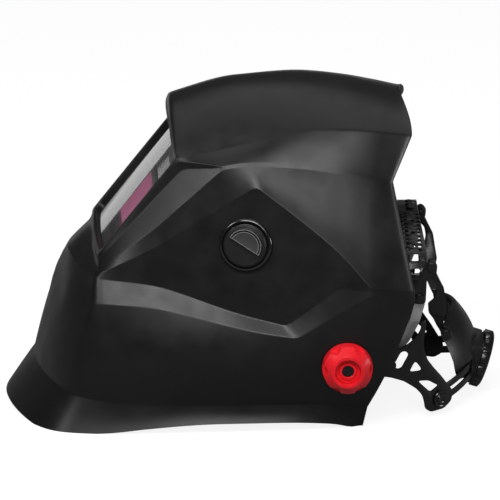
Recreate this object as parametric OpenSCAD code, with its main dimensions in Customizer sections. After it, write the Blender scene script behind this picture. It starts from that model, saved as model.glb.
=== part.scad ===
// Welding helmet with an auto-darkening filter, a ratchet headgear and two pivot knobs.
// Millimetres, +Z up, the mask faces -X, the wearer's left side is -Y.
// The origin is under the middle of the whole object, at the plane of the lowest rim.

/* [Shell] */
// Wall of the moulded shell, measured towards the middle of the head space
wall = 3; // [2.6:0.1:3.6]
// Half-width of the window opening
win_half_w = 61; // [56:0.5:61]
// Length of the window opening up its slope
win_len = 92; // [80:1:93]
// Corner radius of the window opening
win_corner_r = 7; // [3:0.5:12]

/* [Filter] */
// Width of the filter cartridge
filter_w = 110; // [104:1:112]
// Height of the filter cartridge, up the slope of the window
filter_h = 90; // [86:1:92]
// Width of the clear viewing pane
pane_w = 92; // [84:1:94]
// Height of the clear viewing pane
pane_h = 42; // [36:1:44]

/* [Pivot] */
// Radius of the pivot bolts
bolt_r = 5; // [4:0.1:5.5]
// Radial running gap of every turning shaft
run_gap = 0.05; // [0.02:0.01:0.1]
// Free travel of the headgear along its slots, each way
slot_travel = 9; // [6:0.5:10]
// Outer radius of the red tension knobs
knob_r = 19.5; // [18:0.5:21]
// Height of the red tension knobs
knob_h = 15; // [13:0.5:17]

/* [Shade control] */
// Outer radius of the fixed dial ring
ring_r = 20.5; // [19.5:0.5:22]
// Radius of the turning knob in the ring
shade_knob_r = 16.5; // [15:0.5:17]

/* [Headgear] */
// Thickness of the moulded arms and bands
band_t = 2.4; // [2:0.1:2.4]
// Radius of the crown strap's arch, outside
strap_r = 78; // [78:0.5:79]
// Width of the crown strap
strap_w = 30; // [26:1:32]
// Rear edge of the crown strap
strap_rear = 132; // [131.5:0.5:132]
// Radius of the forehead band, outside
brow_band_r = 94.5; // [93.5:0.5:94.5]
// Height of the forehead band
brow_band_h = 28; // [22:1:32]
// Outer radius of the ratchet knob
ratchet_r = 22.5; // [21:0.5:23]

/* [Hidden] */
$fn = 64;

// Colours
shell_col = [0.13, 0.13, 0.135];
band_col = [0.16, 0.16, 0.165];
red_col = [0.86, 0.1, 0.14];
steel_col = [0.62, 0.63, 0.65];

// Feature lines of the shell
// Each runs from the middle of the front, round the cheek, to the rear edge.
// A point is [x, half-width, z], with a 1 after it where the line has a corner.

// Flat cheek panel that carries the shade control: a point of it,
// and the half-width it gains per mm back and per mm down
cheek_at = [23.4, 109, 85];
cheek_back = 0.1844;
cheek_down = 0.15;
function cheek_w(x, z) = cheek_at[1] + cheek_back * (x - cheek_at[0]) - cheek_down * (z - cheek_at[2]);
function cheek(x, z) = [x, cheek_w(x, z), z];
function cheek_corner(x, z) = [x, cheek_w(x, z), z, 1];

rim_line = [
    [-188.5, 0, 3], [-178.4, 56, 1], [-156, 96, -1.5], [-116.5, 107, 0], [-81.6, 110, 4],
    [-42.6, 110.5, 7], [-4.6, 110, 7.5], [30.5, 108, 7], [57.7, 102, 4], [71.9, 96.5, 0],
    [82.1, 92, -1.5]
];
hem_line = [
    [-166.5, 0, 35], [-159.1, 50, 32], [-139.7, 88, 27], [-108.2, 100, 23], [-81.4, 104.5, 22],
    [-42.4, 105.5, 21.5], [-4.5, 106, 21.5], [30.6, 104.5, 21], [58.8, 100.5, 19.5], [73.9, 97.5, 18],
    [86, 95, 16]
];
ledge_low_line = [
    [-156, 0, 70], [-148.2, 50, 82.5], [-121.7, 88.5, 98.6, 1], [-81, 95.5, 97], [-58.2, 99.5, 93],
    [-25.5, 106, 86], [0.3, 111.5, 81], [31.1, 116, 77, 1], [60.1, 116.5, 94.8], [87.1, 117, 111, 1],
    [121.4, 109, 103]
];
ledge_high_line = [
    [-140.5, 0, 119], [-132.8, 43, 117], [-121.3, 78.5, 115.2, 1], cheek(-80.6, 112), cheek(-57.8, 106.8),
    cheek(-25.2, 96.4), cheek(-4.3, 90.7), cheek_corner(23.4, 85), cheek_corner(64.3, 115.7),
    cheek_corner(87.1, 113.6), [121.3, 108.3, 107]
];
cheek_top_line = [
    [-135, 0, 124], [-128.6, 40, 122], [-119.2, 77, 118.6, 1], cheek(-80.5, 138), cheek(-57.6, 152.5),
    cheek(-24.7, 173.3), cheek_corner(1.2, 190), cheek(33.9, 166.1), cheek(64.5, 141.1),
    cheek_corner(87.1, 116.2), [121, 107.5, 111]
];
ridge_line = [
    [-131, 0, 127], [-125.6, 37.5, 125.2], [-118.5, 72.5, 121.9, 1], [-80.3, 77.5, 150.8],
    [-54.9, 79.5, 173.4], [-24.3, 80, 201, 1], [-3.3, 80.5, 203.5], [34.6, 82, 201.6], [65.5, 83, 197.5],
    [88.5, 82, 192.8], [105.6, 79, 188.7]
];
riser_line = [
    [-127, 0, 129.2], [-122.9, 34.5, 127.8], [-118.8, 67, 126.2, 1], [-85.3, 66.2, 164.5],
    [-54.3, 65.8, 198.2, 1], [-24.5, 79.2, 202.2, 1], [-3.3, 79.7, 204.8], [34.6, 81.2, 203],
    [65.5, 82.2, 199], [88.5, 81.2, 194.3], [106.2, 78.3, 190.2]
];
brow_seam_line = [
    [-124, 0, 130.4], [-121.9, 33.3, 129.4], [-119, 65.2, 128, 1], [-87.7, 65, 166.6],
    [-57.7, 64.6, 203.8, 1], [-24.7, 78.5, 203.4, 1], [-3.3, 78.9, 206.2], [34.6, 80.3, 204.5],
    [65.6, 81.3, 200.5], [88.6, 80.3, 195.8], [106.7, 77.6, 191.7]
];
// Side of the window, then the shoulder of the crown
shoulder_line = [
    [-122, 0, 131.5], [-121.1, 32, 131], [-119.2, 64, 129.5, 1], [-88.95, 64, 167.75],
    [-58.7, 64, 206, 1], [-23.7, 64.5, 213], [-2.7, 64.5, 218], [35.3, 64, 226.6], [66.3, 64, 227.5],
    [89.3, 64, 226], [121.4, 61, 221]
];
// Middle of the window from its lower to its upper edge, and of the crown from the brow to the rear
win_mid_line = [[-122, 0, 131.5], [-91.5, 0, 167.75], [-61, 0, 204]];
crown_mid_line = [
    [-62, 0, 238], [-25, 0, 249.5], [0, 0, 252.7], [36, 0, 254.5],
    [69, 0, 250.7], [92, 0, 245.9], [115, 0, 240.3]
];
// Middle points of the face under the brow, from the window up
brow_face = [[-62.5, 0, 215], [-65, 0, 230]];

lines = [
    rim_line, hem_line, ledge_low_line, ledge_high_line, cheek_top_line, ridge_line, riser_line,
    brow_seam_line, shoulder_line
];
// Steps along the lines between their points, and steps between each line and the next
span_steps = [3, 3, 3, 3, 3, 2, 3, 3, 2, 3];
band_steps = [2, 4, 2, 2, 3, 2, 1, 2];
// How far each band swells out at its middle, at the points of its lines
band_swell = [
    [0.5, 0, -0.5, -1, -1, -1, -1, -1, -1, -0.5, 0],
    [0.5, 1, 3, 5, 5.5, 6, 6, 6, 7.8, 8.5, 7],
    [4, 3, 0, 0, 0, 0, 0, 0, 0, 0, 0],
    [0, 0, 0, 0, 0, 0, 0, 0, 0, 0, 0],
    [0, 0, 0, 0, 0, 0, 0, -1.5, -2, -1.5, 0],
    [0, 0, 0, 0, 0, 0, 0, 0, 0, 0, 0],
    [0, 0, 0, 0, 0, 0, 0, 0, 0, 0, 0],
    [0, 0, 0, 0, 0, 0.5, 1, 1, 1, 1, 0.5]
];
// How far the rear edge of the crown bows back between its middle and its shoulders
crown_bow = 4;
// Point towards which the wall's thickness is measured
head_mid = [0, 0, 95];

// Sums of the first n entries
function total(v, n) = n <= 0 ? 0 : v[n - 1] + total(v, n - 1);
stations = total(span_steps, len(span_steps));
rows = total(band_steps, len(band_steps));
corner_span = 2;
corner_st = total(span_steps, corner_span);
brow_st = total(span_steps, 4);
// Lateral lines over the window, the brow's face and the crown
win_lines = brow_st - corner_st;
face_lines = len(brow_face) + 1;
centre_lines = stations - corner_st + face_lines;

// Span of a station and the share of that span
function span_of(k, i = 0) =
    k < total(span_steps, i + 1) || i == len(span_steps) - 1 ? i : span_of(k, i + 1);
function share_of(k) = (k - total(span_steps, span_of(k))) / span_steps[span_of(k)];
function xyz(p) = [p[0], p[1], p[2]];
function is_corner(p) = len(p) > 3;

// Point at share t between b and c on a smooth curve through a, b, c and d
function curve(a, b, c, d, t) =
    b + 0.5 * t * (c - a + t * (2 * a - 5 * b + 4 * c - d + t * (3 * (b - c) + d - a)));
function before(line, i) =
    i == 0 && line[0][1] == 0 ? [line[1][0], -line[1][1], line[1][2]] :
    i == 0 || is_corner(line[i]) ? 2 * xyz(line[i]) - xyz(line[i + 1]) : xyz(line[i - 1]);
function after(line, i) =
    i + 2 >= len(line) || is_corner(line[i + 1]) ? 2 * xyz(line[i + 1]) - xyz(line[i]) : xyz(line[i + 2]);
function on_line(line, i, t) = curve(before(line, i), xyz(line[i]), xyz(line[i + 1]), after(line, i), t);
function at_station(line, k) = on_line(line, span_of(k), share_of(k));

drawn = [for (line = lines) [for (k = [0:stations]) at_station(line, k)]];
function unit(v) = v / norm(v);
// Outward direction of a band at a station
function outward(b, k) =
    let (fore = drawn[b][max(k - 1, 0)] + drawn[b + 1][max(k - 1, 0)],
         aft = drawn[b][min(k + 1, stations)] + drawn[b + 1][min(k + 1, stations)],
         along = k == 0 ? [0, 1, 0] : aft - fore)
    unit(cross(drawn[b + 1][k] - drawn[b][k], along));
function swell(b, k) =
    let (i = span_of(k)) band_swell[b][i] + (band_swell[b][i + 1] - band_swell[b][i]) * share_of(k);
function band_point(b, k, t) =
    drawn[b][k] + (drawn[b + 1][k] - drawn[b][k]) * t + outward(b, k) * (4 * t * (1 - t) * swell(b, k));

// The cheeks and the nose: rows from the rim to the window and shoulder, stations from side to side
function row_band(j, b = 0) =
    j < total(band_steps, b + 1) || b == len(band_steps) - 1 ? b : row_band(j, b + 1);
function row_share(j) = (j - total(band_steps, row_band(j))) / band_steps[row_band(j)];
function to_side(p, k) = k < 0 ? [p[0], -p[1], p[2]] : p;
cheek_pts = [for (j = [0:rows]) for (k = [-stations:stations])
    to_side(band_point(row_band(j), abs(k), row_share(j)), k)];
function cheek_id(j, k) = j * (2 * stations + 1) + k + stations;

// The window, the face under the brow and the crown: lines from side to side
function line_edge_st(m) = m <= win_lines ? corner_st + m : max(brow_st, corner_st + m - face_lines);
function line_mid(m) =
    m < win_lines ? on_line(win_mid_line, span_of(corner_st + m) - corner_span, share_of(corner_st + m)) :
    m == win_lines ? xyz(win_mid_line[2]) :
    m < win_lines + face_lines ? brow_face[m - win_lines - 1] :
    on_line(crown_mid_line, span_of(line_edge_st(m)) - 4, share_of(line_edge_st(m)));
function centre_point(m, q) =
    let (edge = drawn[len(lines) - 1][line_edge_st(m)], mid = line_mid(m), s = q / corner_st,
         bow = crown_bow * pow(max(0, m - win_lines) / (centre_lines - win_lines), 3))
    [mid[0] + (edge[0] - mid[0]) * s * s + bow * 4 * s * s * (1 - s * s),
     edge[1] * s, mid[2] + (edge[2] - mid[2]) * s * s];
centre_pts = [for (m = [1:centre_lines]) for (q = [1 - corner_st:corner_st - 1]) centre_point(m, q)];
function centre_id(m, q) =
    m == 0 ? cheek_id(rows, q) :
    abs(q) == corner_st ? cheek_id(rows, sign(q) * line_edge_st(m)) :
    len(cheek_pts) + (m - 1) * (2 * corner_st - 1) + q + corner_st - 1;

outer_pts = concat(cheek_pts, centre_pts);
inner_pts = [for (p = outer_pts) p - wall * unit(p - head_mid)];
// Two triangles of a patch, and one where its side has no length
function patch(a, b, c, d) = a == b ? [[a, c, d]] : c == d ? [[a, b, c]] : [[a, b, c], [a, c, d]];
outer_faces = concat(
    [for (j = [0:rows - 1]) for (k = [-stations:stations - 1])
        each patch(cheek_id(j, k), cheek_id(j, k + 1), cheek_id(j + 1, k + 1), cheek_id(j + 1, k))],
    [for (m = [0:centre_lines - 1]) for (q = [-corner_st:corner_st - 1])
        each line_edge_st(m) == line_edge_st(m + 1) && q == -corner_st ?
            [[centre_id(m, q), centre_id(m, q + 1), centre_id(m + 1, q + 1)]] :
        line_edge_st(m) == line_edge_st(m + 1) && q == corner_st - 1 ?
            [[centre_id(m, q), centre_id(m, q + 1), centre_id(m + 1, q)]] :
        patch(centre_id(m, q), centre_id(m, q + 1), centre_id(m + 1, q + 1), centre_id(m + 1, q))]
);
// Open edge of the shell: the rim, one rear side, the crown's rear, the other rear side
edge_loop = concat(
    [for (k = [-stations:stations]) cheek_id(0, k)],
    [for (j = [1:rows]) cheek_id(j, stations)],
    [for (q = [corner_st - 1:-1:1 - corner_st]) centre_id(centre_lines, q)],
    [for (j = [rows:-1:1]) cheek_id(j, -stations)]
);
skin = len(outer_pts);
rim_faces = [for (i = [0:len(edge_loop) - 1])
    let (a = edge_loop[i], b = edge_loop[(i + 1) % len(edge_loop)])
    each [[b, a, a + skin], [b, a + skin, b + skin]]];
function flip(f) = [f[2], f[1], f[0]];

// Places that several pieces share
win_low = shoulder_line[2];
win_high = shoulder_line[4];
win_slope = atan2(win_high[2] - win_low[2], win_high[0] - win_low[0]);
win_mid = [(win_low[0] + win_high[0]) / 2, 0, (win_low[2] + win_high[2]) / 2];
pivot = [69.2, 54.5];
pad_face = 118;
pad_back = 105.8;
pad_r = 17;
rib_l = 24;
dial_x = -6.9;
dial_z = 145.8;
dial_at = [dial_x, -cheek_w(dial_x, dial_z), dial_z];
dial_polar = acos(cheek_down / norm([cheek_back, 1, cheek_down]));
dial_turn = atan2(-1, -cheek_back);
floor_cut = 40;

// Local x runs up the window's slope and local z points out of it
module at_window() { translate(win_mid) rotate([0, -win_slope, 0]) children(); }
// Local z points out of the left cheek panel
module at_dial() { translate(dial_at) rotate([0, dial_polar, dial_turn]) children(); }
module left_and_right() { children(); mirror([0, 1, 0]) children(); }
// Local z points from the left pivot outwards
module at_pivot() { translate([pivot[0], 0, pivot[1]]) rotate([90, 0, 0]) children(); }
module rounded(w, h, r) {
    square([w - 2 * r, h], center = true);
    square([w, h - 2 * r], center = true);
    for (x = [-1, 1]) for (y = [-1, 1]) translate([x * (w / 2 - r), y * (h / 2 - r)]) circle(r);
}
module plate(w, h, r, z0, z1) { translate([0, 0, z0]) linear_extrude(z1 - z0) rounded(w, h, r); }
module ring(r_out, r_in, z0, z1) {
    translate([0, 0, z0]) difference() {
        cylinder(r = r_out, h = z1 - z0);
        translate([0, 0, -1]) cylinder(r = r_in, h = z1 - z0 + 2);
    }
}

// Shell
module helmet_shell() {
    color(shell_col) difference() {
        union() {
            polyhedron(
                points = concat(outer_pts, inner_pts),
                faces = concat(
                    outer_faces, [for (f = outer_faces) flip(f + [skin, skin, skin])], rim_faces
                ),
                convexity = 12
            );
            left_and_right() at_pivot() translate([0, 0, pad_back])
                cylinder(r = pad_r, h = pad_face - pad_back);
            // Ribs beside the window that keep the cartridge holder in place
            left_and_right() at_window() translate([-rib_l / 2, -lens_w / 2 - 3.4, holder_z[0]])
                cube([rib_l, 3.2, holder_z[1] - holder_z[0]]);
        }
        left_and_right() at_pivot() translate([0, 0, pad_back - 4]) cylinder(r = bolt_r + run_gap, h = 20);
        at_window() plate(win_len, 2 * win_half_w, win_corner_r, -14, 14);
        at_dial() translate([0, 0, -20]) cylinder(r = bush_r + 0.1, h = 40);
        translate([-200, -150, -floor_cut]) cube([400, 300, floor_cut]);
    }
}

// Filter group, in depths behind the window's edge
lens_z = [-5, -3.5];
holder_z = [-9.4, -5.2];
case_front_z = [-13.4, -9.6];
glass_z = [-17.4, -13.6];
case_back_z = [-21, -13.5];
pane_x = -11;
solar_x = 24;
lens_h = 95;
lens_w = 124.4;

module cover_lens() {
    color([0.85, 0.9, 0.9, 0.3]) at_window() plate(lens_h, lens_w, 9, lens_z[0], lens_z[1]);
}
module cartridge_holder() {
    color(band_col) at_window() difference() {
        union() {
            plate(lens_h, lens_w, 9, holder_z[0], holder_z[1]);
            for (y = [-1, 1]) translate([0, y * (filter_w / 2 + 1.4), (holder_z[0] + case_back_z[0]) / 2])
                cube([40, 2.2, holder_z[0] - case_back_z[0]], center = true);
        }
        plate(filter_h - 12, filter_w - 10, 5, holder_z[0] - 1, holder_z[1] + 1);
    }
}
module filter_case_front() {
    color(band_col) at_window() difference() {
        plate(filter_h, filter_w, 4, case_front_z[0], case_front_z[1]);
        translate([pane_x, 0, 0]) plate(pane_h, pane_w, 3, case_front_z[0] - 1, case_front_z[1] + 1);
        translate([solar_x, 0, 0]) plate(14.4, 70.4, 1, case_front_z[1] - 1.5, case_front_z[1] + 1);
        for (y = [-1, 1]) translate([solar_x, y * 44, case_front_z[1] - 1.5]) cylinder(r = 3.1, h = 4);
    }
}
module filter_glass() {
    color([0.35, 0.5, 0.35, 0.6]) at_window() translate([pane_x, 0, 0])
        plate(pane_h + 8, pane_w + 8, 2, glass_z[0], glass_z[1]);
}
module filter_case_back() {
    color(band_col) at_window() difference() {
        plate(filter_h, filter_w, 4, case_back_z[0], case_back_z[1]);
        translate([pane_x, 0, 0]) {
            plate(pane_h + 8.4, pane_w + 8.4, 2, glass_z[0] - 0.1, case_back_z[1] + 1);
            plate(pane_h, pane_w, 3, case_back_z[0] - 1, case_back_z[1] + 1);
        }
        translate([pane_x, 0, 0])
            plate(pane_h + 4.4, pane_w + 4.4, 2, case_back_z[0] - 1, case_back_z[0] + 1.2);
        for (y = [-1, 1]) translate([control_x, y * control_y, case_back_z[0] - 1])
            cylinder(r = dial_stem_r + run_gap, h = 5);
        translate([control_x, button_y, case_back_z[0] - 1]) cylinder(r = button_r + 0.3, h = 4);
        // Pocket of the battery tray, open at the top edge
        translate([tray_x - tray_l / 2 - 0.3, -tray_w / 2 - 0.3, tray_z[0] - 0.3])
            cube([tray_l + 20, tray_w + 0.6, tray_z[1] - tray_z[0] + 0.6]);
    }
}
module solar_cell() {
    color([0.1, 0.08, 0.2]) at_window() translate([solar_x, 0, 0])
        plate(14, 70, 0.8, case_front_z[1] - 1.4, case_front_z[1] - 0.2);
}
module arc_sensors() {
    color([0.2, 0.05, 0.08]) at_window() for (y = [-1, 1])
        translate([solar_x, y * 44, case_front_z[1] - 1.4]) cylinder(r = 3, h = 1.2);
}
module inner_cover_lens() {
    color([0.85, 0.9, 0.9, 0.3]) at_window() translate([pane_x, 0, 0])
        plate(pane_h + 4, pane_w + 4, 2, case_back_z[0] + 0.1, case_back_z[0] + 1.1);
}

// Controls on the wearer's side of the filter
control_x = 34;
control_y = 33;
button_y = 18.5;
dial_stem_r = 2.5;
inner_dial_r = 7.5;
button_r = 3.5;
tray_l = 26;
tray_w = 24;
tray_x = filter_h / 2 - tray_l / 2 - 0.2;
tray_z = [-20, -16.5];

module inner_dial(y) {
    at_window() translate([control_x, y, 0]) {
        translate([0, 0, case_back_z[0] - 0.3]) mirror([0, 0, 1]) difference() {
            cylinder(r = inner_dial_r, h = 5);
            translate([-0.8, -inner_dial_r, 3.6]) cube([1.6, inner_dial_r, 2]);
            for (a = [0:30:330]) rotate(a) translate([inner_dial_r, 0, -1]) cylinder(r = 0.8, h = 7);
        }
        translate([0, 0, case_back_z[0] - 0.4]) cylinder(r = dial_stem_r, h = 4);
    }
}
module sensitivity_dial() { color(shell_col) inner_dial(-control_y); }
module delay_dial() { color(shell_col) inner_dial(control_y); }
module test_button() {
    color([0.75, 0.1, 0.12]) at_window() translate([control_x, button_y, case_back_z[0] - 1.6])
        cylinder(r = button_r, h = 2.6);
}
module battery_tray() {
    color(shell_col) at_window() translate([tray_x, 0, 0]) difference() {
        translate([-tray_l / 2, -tray_w / 2, tray_z[0]]) cube([tray_l + 2, tray_w, tray_z[1] - tray_z[0]]);
        translate([-1, 0, tray_z[1] - 3]) cylinder(r = 10.2, h = 4);
    }
}
module coin_cell() {
    color(steel_col) at_window() translate([tray_x - 1, 0, tray_z[1] - 2.9]) cylinder(r = 10, h = 2.7);
}

// Shade control
bush_r = 4.5;
shaft_r = 3;
ring_h = 4.5;
shade_knob_z = 1.2;

module dial_ring() {
    color(shell_col) at_dial() difference() {
        union() {
            ring(ring_r, shade_knob_r + 1.4, 0.1, ring_h - 1.5);
            ring(ring_r - 1, shade_knob_r + 1.4, ring_h - 1.6, ring_h);
        }
        for (a = [0:22.5:337.5]) rotate(a) translate([ring_r - 1.6, -0.4, ring_h - 0.6]) cube([2, 0.8, 1]);
    }
}
module potentiometer_body() {
    color(steel_col) at_dial() difference() {
        union() {
            translate([0, 0, -11.2]) cylinder(r = 8, h = 8.1);
            translate([0, 0, -3.2]) cylinder(r = bush_r, h = 3.9);
        }
        translate([0, 0, -10]) cylinder(r = shaft_r + run_gap, h = 20);
    }
}
module potentiometer_nut() {
    color(steel_col) at_dial() difference() {
        translate([0, 0, 0.1]) cylinder(r = 7, h = 0.9, $fn = 6);
        translate([0, 0, -1]) cylinder(r = bush_r + 0.1, h = 4);
    }
}
module potentiometer_shaft() {
    color(steel_col) at_dial() translate([0, 0, -9.6]) cylinder(r = shaft_r, h = 14.4);
}
module shade_knob() {
    color(shell_col) at_dial() difference() {
        union() {
            translate([0, 0, shade_knob_z]) cylinder(r = shade_knob_r, h = 5);
            translate([0, 0, shade_knob_z + 5])
                cylinder(r1 = shade_knob_r - 0.3, r2 = shade_knob_r - 1.2, h = 0.9);
            intersection() {
                translate([0, 0, shade_knob_z + 5]) cylinder(r = shade_knob_r - 3.5, h = 5);
                rotate(59) translate([-shade_knob_r, 0, 0]) cube([2 * shade_knob_r, shade_knob_r, 20]);
            }
        }
        cylinder(r = shaft_r + run_gap, h = 5);
        cylinder(r = 9, h = 2.2);
    }
}

// Pivots
washer_z = [pad_back - 2.3, pad_back - 0.3];
block_z = [99.4, washer_z[0] - 0.1];
bolt_head_z = [88, 91.5];
bolt_end = 128;
knob_z = pad_face + 0.4;
nut_z = [122.5, 127.5];
recess_r = 10;

module pivot_bolt() {
    color(steel_col) at_pivot() {
        translate([0, 0, bolt_head_z[0]]) cylinder(r = 9.5, h = bolt_head_z[1] - bolt_head_z[0]);
        translate([0, 0, bolt_head_z[1] - 0.5]) cylinder(r = bolt_r, h = bolt_end - bolt_head_z[1]);
    }
}
module left_pivot_bolt() { pivot_bolt(); }
module right_pivot_bolt() { mirror([0, 1, 0]) pivot_bolt(); }
module friction_washers() {
    color([0.3, 0.3, 0.32]) left_and_right() at_pivot() ring(12, bolt_r + 0.1, washer_z[0], washer_z[1]);
}
module slide_blocks() {
    color(band_col) left_and_right() at_pivot() difference() {
        plate(26, 22, 5, block_z[0], block_z[1]);
        translate([0, 0, block_z[0] - 1]) cylinder(r = bolt_r + 0.1, h = 10);
    }
}
module tension_knob() {
    grips = 6;
    color(red_col) at_pivot() difference() {
        union() {
            translate([0, 0, knob_z]) cylinder(r1 = knob_r, r2 = knob_r - 0.8, h = knob_h * 0.55);
            translate([0, 0, knob_z + knob_h * 0.55])
                cylinder(r1 = knob_r - 0.8, r2 = knob_r - 5.5, h = knob_h * 0.3);
            translate([0, 0, knob_z + knob_h * 0.85])
                cylinder(r1 = knob_r - 5.5, r2 = knob_r - 7, h = knob_h * 0.15);
        }
        for (a = [0:grips - 1]) rotate(a * 360 / grips) translate([knob_r + 3.6, 0, knob_z + 5])
            rotate([0, -12, 0]) cylinder(r = 6, h = 20);
        translate([0, 0, knob_z - 1]) cylinder(r = bolt_r + 0.3, h = 20);
        translate([0, 0, nut_z[0] - 0.1]) cylinder(r = 8, h = nut_z[1] - nut_z[0] + 0.2, $fn = 6);
        translate([0, 0, nut_z[1]]) cylinder(r = recess_r, h = 20);
    }
}
module knob_nut() {
    color([0.1, 0.1, 0.11]) at_pivot() difference() {
        translate([0, 0, nut_z[0]]) cylinder(r = 7.8, h = nut_z[1] - nut_z[0], $fn = 6);
        translate([0, 0, nut_z[0] - 1]) cylinder(r = bolt_r + run_gap, h = 10);
    }
}
module left_tension_knob() { tension_knob(); }
module right_tension_knob() { mirror([0, 1, 0]) tension_knob(); }
module left_knob_nut() { knob_nut(); }
module right_knob_nut() { mirror([0, 1, 0]) knob_nut(); }

// Headgear
// Side pieces are outlines seen from the side, cut out of curved walls that follow the head.
arm_wall_mid = [51.5, 62];
arm_wall_r = 161;

// Outline with rounded corners from points [x, z, radius]
function corner_arc(a, b, c, r) =
    let (u = unit([a[0] - b[0], a[1] - b[1]]), v = unit([c[0] - b[0], c[1] - b[1]]),
         half = acos(max(-1, min(1, u * v))) / 2)
    r == 0 || half > 88 ? [[b[0], b[1]]] :
    let (cut = min(
            r / tan(half), 0.45 * norm([a[0] - b[0], a[1] - b[1]]), 0.45 * norm([c[0] - b[0], c[1] - b[1]])
        ),
         from = [b[0], b[1]] + u * cut, to = [b[0], b[1]] + v * cut)
    [for (t = [0:0.25:1]) from * (1 - t) * (1 - t) + 2 * t * (1 - t) * [b[0], b[1]] + to * t * t];
function soft_outline(p) =
    [for (i = [0:len(p) - 1])
        each corner_arc(p[(i + len(p) - 1) % len(p)], p[i], p[(i + 1) % len(p)], p[i][2])];
// Side view outline given thickness by a wall of the left side
module side_cut() { translate([0, -20, 0]) rotate([90, 0, 0]) linear_extrude(110) children(); }
module arm_wall(r_out, t) {
    translate([arm_wall_mid[0], arm_wall_mid[1], -20]) difference() {
        cylinder(r = r_out, h = 240);
        translate([0, 0, -1]) cylinder(r = r_out - t, h = 242);
    }
}
// Hole across the side pieces at [x, z]
module cross_hole(at, r) { translate([at[0], 0, at[1]]) rotate([90, 0, 0]) cylinder(r = r, h = 130); }

// Places of the pins, seen from the side
band_pin = [68.5, 97];
strap_pin = [126.5, 96];
ear_pin = [135.6, 121];
nape_pin = [148.6, 59];
pin_r = 2;
pin_hole_r = pin_r + run_gap;
// The other pins stand square to the curved walls: turn about the wall's middle, and height
lobe_turn = 55.3;
lobe_z = 14;
link_turn = 71;
link_z = 47;
module at_lobe() {
    translate([arm_wall_mid[0], arm_wall_mid[1], lobe_z]) rotate([0, 90, -lobe_turn]) children();
}
module at_link_pin() {
    translate([arm_wall_mid[0], arm_wall_mid[1], link_z]) rotate([0, 90, -link_turn]) children();
}

arm_outline = [
    [53, 44, 7], [84.5, 41, 20], [96.5, 38.8, 20], [103.5, 37.4, 20], [114.2, 33, 20],
    [123.7, 25.7, 12], [128.3, 19.9, 10],
    [129.9, 14, 8], [130.7, 8.4, 5], [135.5, 4.7, 5], [146, 5.5, 6], [151.9, 10.3, 6], [153, 17.5, 5],
    [149, 23.3, 8], [143.7, 31.4, 20], [137.8, 39.2, 20], [133, 46.3, 14], [130.1, 55, 14], [129.5, 63, 14],
    [131.3, 72, 6], [131.9, 78.2, 2.5], [128.1, 78.2, 2.5], [127.2, 71.8, 8],
    [123.7, 66.2, 10], [117.7, 62, 12],
    [109.5, 58.8, 10], [90.5, 66, 20], [80.5, 82, 12], [77, 105.5, 8], [60, 105.5, 8]
];
arm_triangle = [[123, 48.2, 2], [118.1, 39.2, 2], [128.9, 38.9, 2]];
arm_gusset = [[124.3, 31.8, 1.5], [133.5, 30.4, 8], [141.5, 24.6, 1.5], [134.8, 20.4, 2.5]];
module capsule(a, b, r) {
    translate(a) circle(r);
    translate(b) circle(r);
    d = b - a;
    translate(a) rotate(atan2(d[1], d[0])) translate([0, -r]) square([norm(d), 2 * r]);
}
module side_arm() {
    color(band_col) difference() {
        intersection() {
            side_cut() difference() {
                polygon(soft_outline(arm_outline));
                polygon(soft_outline(arm_triangle));
                polygon(soft_outline(arm_gusset));
                capsule([113.9, 53.4], [109.9, 46.6], 3.4);
                capsule(pivot - [slot_travel, 0], pivot + [slot_travel, 0], bolt_r + 0.1);
            }
            arm_wall(arm_wall_r, band_t);
        }
        cross_hole(band_pin, pin_hole_r);
        at_link_pin() cylinder(r = pin_hole_r, h = 180);
        at_lobe() cylinder(r = pin_hole_r, h = 180);
    }
}
module left_side_arm() { side_arm(); }
module right_side_arm() { mirror([0, 1, 0]) side_arm(); }

// Forehead band in a plane that rises to the front
brow_band_mid = [68.5, 0, 97];
brow_band_tilt = 32;
module at_brow_band() { translate(brow_band_mid) rotate([0, brow_band_tilt, 0]) children(); }
module front_half(r) { translate([-r, -r, -60]) cube([r + 4, 2 * r, 120]); }
module forehead_band() {
    color(band_col) difference() {
        at_brow_band() intersection() {
            ring(brow_band_r, brow_band_r - band_t, -brow_band_h / 2, brow_band_h / 2);
            front_half(120);
        }
        left_and_right() cross_hole(band_pin, pin_hole_r);
    }
}
// Padded strip on the inside of the forehead band: crowned face, drawn-in edges
module sweatband() {
    pad_r = brow_band_r - band_t - 0.3;
    half = brow_band_h / 2 + 3;
    color([0.45, 0.45, 0.46]) at_brow_band() rotate([0, 0, 112]) rotate_extrude(angle = 136)
        polygon(concat(
            [[pad_r, -half + 1.5], [pad_r, half - 1.5]],
            [for (a = [80:-20:-80])
                [pad_r - 2 - 6 * cos(a) * (1 - 0.18 * pow(cos(2 * a), 2)), half * sin(a)]]
        ));
}

// Crown strap: a flat arch over the head in two halves that lap at the top
arch_z = 111;
arch_rise = 37;
strap_t = 2;
lap = 14;
peg_x = 122.5;
peg_ys = [-8, 0, 8];
// Honeycomb of the strap: columns across it, first angle round the arch, angle from row to row
comb_xs = [106.4, 110.2, 114, 117.8, 127.2];
comb_rows = 10;
comb_from = 33;
comb_step = 4.6;
comb_r = 1.7;
strap_outline = [
    [strap_rear - strap_w, 112, 8], [114.5, 104, 8], [123, 92, 4],
    [strap_rear - 1, 91.5, 4], [strap_rear, 113, 1],
    [strap_rear, 132, 8], [strap_rear - 2, 142, 8], [strap_rear - 6, 156, 0], [strap_rear - strap_w, 160, 0]
];
ear_outline = [
    [123.5, 108, 2], [129.5, 108, 2], [139.4, 116.5, 3], [139.9, 122.5, 3], [136.8, 126.8, 3],
    [131, 124.5, 3]
];
function arch_point(a, rise, t = 0) = [(t - strap_r) * cos(a), (rise - t) * sin(a)];
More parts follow.
